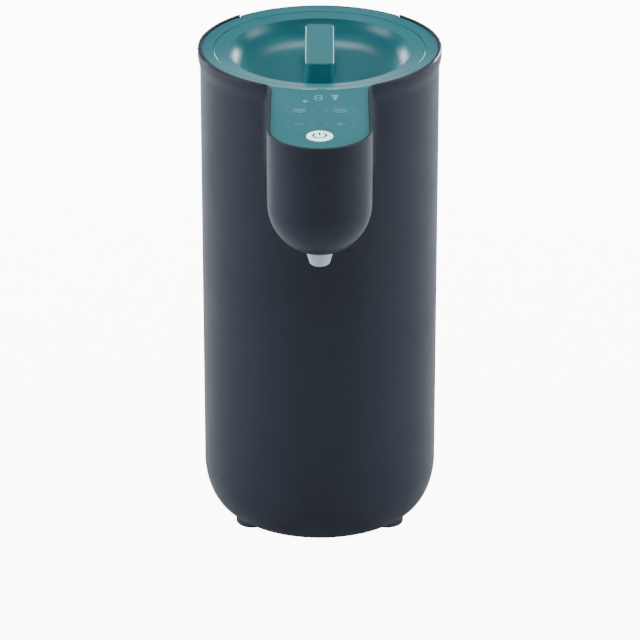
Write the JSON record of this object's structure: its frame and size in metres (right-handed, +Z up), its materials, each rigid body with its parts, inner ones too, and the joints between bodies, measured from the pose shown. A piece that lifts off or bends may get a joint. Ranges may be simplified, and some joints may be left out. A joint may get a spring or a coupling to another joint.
{
  "type": "formula dispenser",
  "caption": "Countertop formula dispenser: round body with a spout arm, lift-off dish lid over a powder hopper with a feed auger, and a slide-out rear water tank.",
  "frame": {"origin": "on the floor plane under the middle of the whole footprint; the round body's axis stands 38.5 mm behind it", "axes": "+Z up, -Y towards the spout arm's nose (the user's side), +X to the user's right"},
  "size_m": [0.124, 0.2009, 0.261],
  "materials": {
    "body_plastic": "satin, dark slate blue-grey",
    "cover_plastic": "satin teal",
    "white_plastic": "satin white",
    "frame_plastic": "fine matte",
    "hopper_plastic": "fine matte, light grey",
    "gear_plastic": "natural, slightly glossy",
    "tank_plastic": "clear, smoked",
    "silicone": "soft, matt",
    "foot_rubber": "matt",
    "hose_rubber": "milky",
    "steel": "fine brushed",
    "motor_steel": "zinc plated",
    "heater_metal": "bare",
    "brass": "turned",
    "board": "solder mask",
    "component": "moulded",
    "cable": "matt"
  },
  "bodies": {
    "housing": {"body_shell": "body_plastic", "head_shell": "body_plastic", "base_cover": "body_plastic", "base_screws": "steel", "feet": "foot_rubber", "inner_frame": "frame_plastic", "top_cover": "cover_plastic", "hopper": "hopper_plastic", "auger_tube": "hopper_plastic", "auger_bush": "brass", "dosing_motor": "motor_steel", "gear_plate": "steel", "mixing_funnel": "hopper_plastic", "tank_socket": "hopper_plastic", "water_pump": "component", "pump_motor": "motor_steel", "heater": "heater_metal", "heater_clips": "steel", "heat_sensor": "component", "tank_hose": "hose_rubber", "pump_hose": "hose_rubber", "hot_hose": "hose_rubber", "water_elbow": "white_plastic", "power_switch": "component", "control_board": "board", "board_screws": "steel", "touch_springs": "steel", "display_module": "component", "power_board": "board", "board_standoffs": "brass", "power_board_screws": "steel", "board_capacitors": "component", "control_chip": "component", "power_inlet": "component", "wire_harness": "cable", "inlet_cable": "cable"},
    "lid": {"lid": "cover_plastic", "lid_gasket": "silicone"},
    "tank": {"water_tank": "tank_plastic", "tank_valve": "white_plastic", "valve_seal": "silicone"},
    "nozzle": {"nozzle": "white_plastic", "nozzle_seal": "silicone"},
    "button": {"power_button": "white_plastic", "switch_plunger": "component"},
    "auger": {"feed_auger": "gear_plastic", "auger_gear": "gear_plastic"},
    "pinion": {"motor_pinion": "brass", "motor_shaft": "steel"}
  },
  "joints": [
    {"name": "lid_lift", "type": "slide", "parent": "housing", "child": "lid", "axis": [0, 0, 1], "range_m": [0, 0.05]},
    {"name": "tank_pull", "type": "slide", "parent": "housing", "child": "tank", "axis": [0, 1, 0], "range_m": [0, 0.07]},
    {"name": "nozzle_pull", "type": "slide", "parent": "housing", "child": "nozzle", "axis": [0, 0, -1], "range_m": [0, 0.02]},
    {"name": "power_press", "type": "slide", "parent": "housing", "child": "button", "axis": [0, 0, -1], "range_m": [0, 0.0008], "stiffness_N_per_m": 1500},
    {"name": "auger_spin", "type": "hinge", "parent": "housing", "child": "auger", "pos_m": [0, 0.0385, 0.225], "axis": [0, -1, 0], "continuous": true},
    {"name": "pinion_spin", "type": "hinge", "parent": "housing", "child": "pinion", "pos_m": [0, 0.0385, 0.2018], "axis": [0, -1, 0], "continuous": true}
  ],
  "couplings": [
    {"joint": "pinion_spin", "follows": "auger_spin", "ratio": -2.2222}
  ]
}
